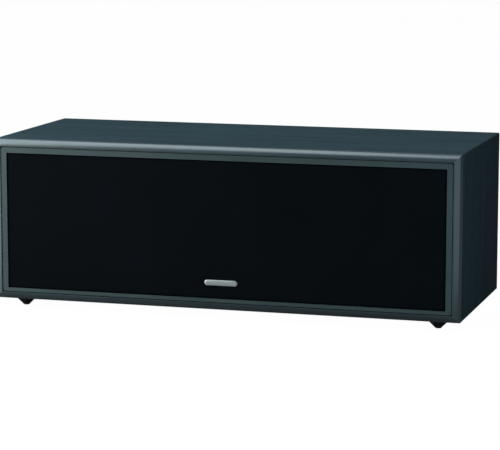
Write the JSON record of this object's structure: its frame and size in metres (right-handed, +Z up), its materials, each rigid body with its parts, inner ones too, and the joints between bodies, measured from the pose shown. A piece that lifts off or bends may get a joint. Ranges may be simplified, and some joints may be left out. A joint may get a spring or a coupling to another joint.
{
  "type": "center channel speaker",
  "caption": "Long low box loudspeaker on small conical feet, with a cloth grille over woofers beside a dome tweeter, and a rear port and binding posts.",
  "frame": {"origin": "on the ground, below the middle of the cabinet", "axes": "+X to the right seen from the front, grille facing -Y, +Z up"},
  "size_m": [0.44, 0.18, 0.158],
  "materials": {
    "vinyl": "black wood-grain vinyl on fibreboard",
    "baffle": "matt black fibreboard",
    "grille_plastic": "fine matt",
    "cloth": "knitted acoustic cloth",
    "badge": "satin",
    "black_plastic": "moulded",
    "basket": "black powder coat",
    "cone": "satin cone",
    "rubber": "matt",
    "spider": "resin-treated cloth",
    "copper": "enamelled winding",
    "zinc_steel": "zinc plated",
    "ferrite": "ground ceramic",
    "black_steel": "black oxide",
    "dome": "coated silk",
    "brass": "gold flashed",
    "red_plastic": "clear red",
    "post_black": "polished",
    "board": "phenolic board",
    "capacitor": "sleeved",
    "resistor": "cement",
    "wadding": "polyester fibre",
    "lead": "insulated wire"
  },
  "bodies": {
    "cabinet": {"black_post_collar": "post_black", "bottom_panel": "vinyl", "crossover_board": "board", "crossover_capacitors": "capacitor", "crossover_inductors": "copper", "crossover_resistors": "resistor", "crossover_screws": "zinc_steel", "crossover_spacers": "black_plastic", "damping_pads": "wadding", "feet": "rubber", "front_baffle": "baffle", "grille_sockets": "black_plastic", "input_leads": "lead", "left_side_panel": "vinyl", "left_woofer_basket": "basket", "left_woofer_spider": "spider", "left_woofer_surround": "rubber", "post_nuts": "brass", "post_studs": "brass", "rear_panel": "baffle", "red_post_collar": "red_plastic", "reflex_port": "black_plastic", "right_side_panel": "vinyl", "right_woofer_basket": "basket", "right_woofer_spider": "spider", "right_woofer_surround": "rubber", "solder_tags": "brass", "terminal_cup": "black_plastic", "terminal_cup_screws": "black_steel", "top_panel": "vinyl", "tweeter_faceplate": "black_plastic", "tweeter_leads": "lead", "tweeter_magnet": "ferrite", "tweeter_screws": "black_steel", "tweeter_terminal_strip": "black_plastic", "tweeter_top_plate": "zinc_steel", "tweeter_yoke": "zinc_steel", "woofer_gaskets": "rubber", "woofer_leads": "lead", "woofer_magnets": "ferrite", "woofer_screws": "black_steel", "woofer_terminal_strips": "black_plastic", "woofer_top_plates": "zinc_steel", "woofer_yokes": "zinc_steel"},
    "grille": {"grille_frame": "grille_plastic", "grille_cloth": "cloth", "grille_badge": "badge"},
    "left_cone": {"left_woofer_cone": "cone", "left_woofer_dust_cap": "cone", "left_woofer_voice_coil": "copper"},
    "right_cone": {"right_woofer_cone": "cone", "right_woofer_dust_cap": "cone", "right_woofer_voice_coil": "copper"},
    "tweeter_diaphragm": {"tweeter_dome": "dome", "tweeter_voice_coil": "copper"},
    "red_insert": {"red_post_insert": "brass"},
    "red_cap": {"red_post_cap": "red_plastic"},
    "black_insert": {"black_post_insert": "brass"},
    "black_cap": {"black_post_cap": "post_black"}
  },
  "joints": [
    {"name": "grille_pull", "type": "slide", "parent": "cabinet", "child": "grille", "axis": [0, -1, 0], "range_m": [0, 0.06]},
    {"name": "left_cone_travel", "type": "slide", "parent": "cabinet", "child": "left_cone", "axis": [0, -1, 0], "range_m": [-0.003, 0.003], "stiffness_N_per_m": 1000, "deforming": ["left_woofer_surround", "left_woofer_spider"]},
    {"name": "right_cone_travel", "type": "slide", "parent": "cabinet", "child": "right_cone", "axis": [0, -1, 0], "range_m": [-0.003, 0.003], "stiffness_N_per_m": 1000, "deforming": ["right_woofer_surround", "right_woofer_spider"]},
    {"name": "tweeter_dome_travel", "type": "slide", "parent": "cabinet", "child": "tweeter_diaphragm", "axis": [0, -1, 0], "range_m": [-0.0003, 0.0003], "stiffness_N_per_m": 200},
    {"name": "red_cap_lift", "type": "slide", "parent": "cabinet", "child": "red_insert", "axis": [0, 1, 0], "range_m": [0, 0.0024]},
    {"name": "red_cap_turn", "type": "hinge", "parent": "red_insert", "child": "red_cap", "pos_m": [0.00953, 0.0755, 0.083], "axis": [0, 1, 0], "range_deg": [0, 1080]},
    {"name": "black_cap_lift", "type": "slide", "parent": "cabinet", "child": "black_insert", "axis": [0, 1, 0], "range_m": [0, 0.0024]},
    {"name": "black_cap_turn", "type": "hinge", "parent": "black_insert", "child": "black_cap", "pos_m": [-0.00953, 0.0755, 0.083], "axis": [0, 1, 0], "range_deg": [0, 1080]}
  ],
  "couplings": [
    {"joint": "red_cap_turn", "follows": "red_cap_lift", "rad_per_m": 7854},
    {"joint": "black_cap_turn", "follows": "black_cap_lift", "rad_per_m": 7854}
  ]
}
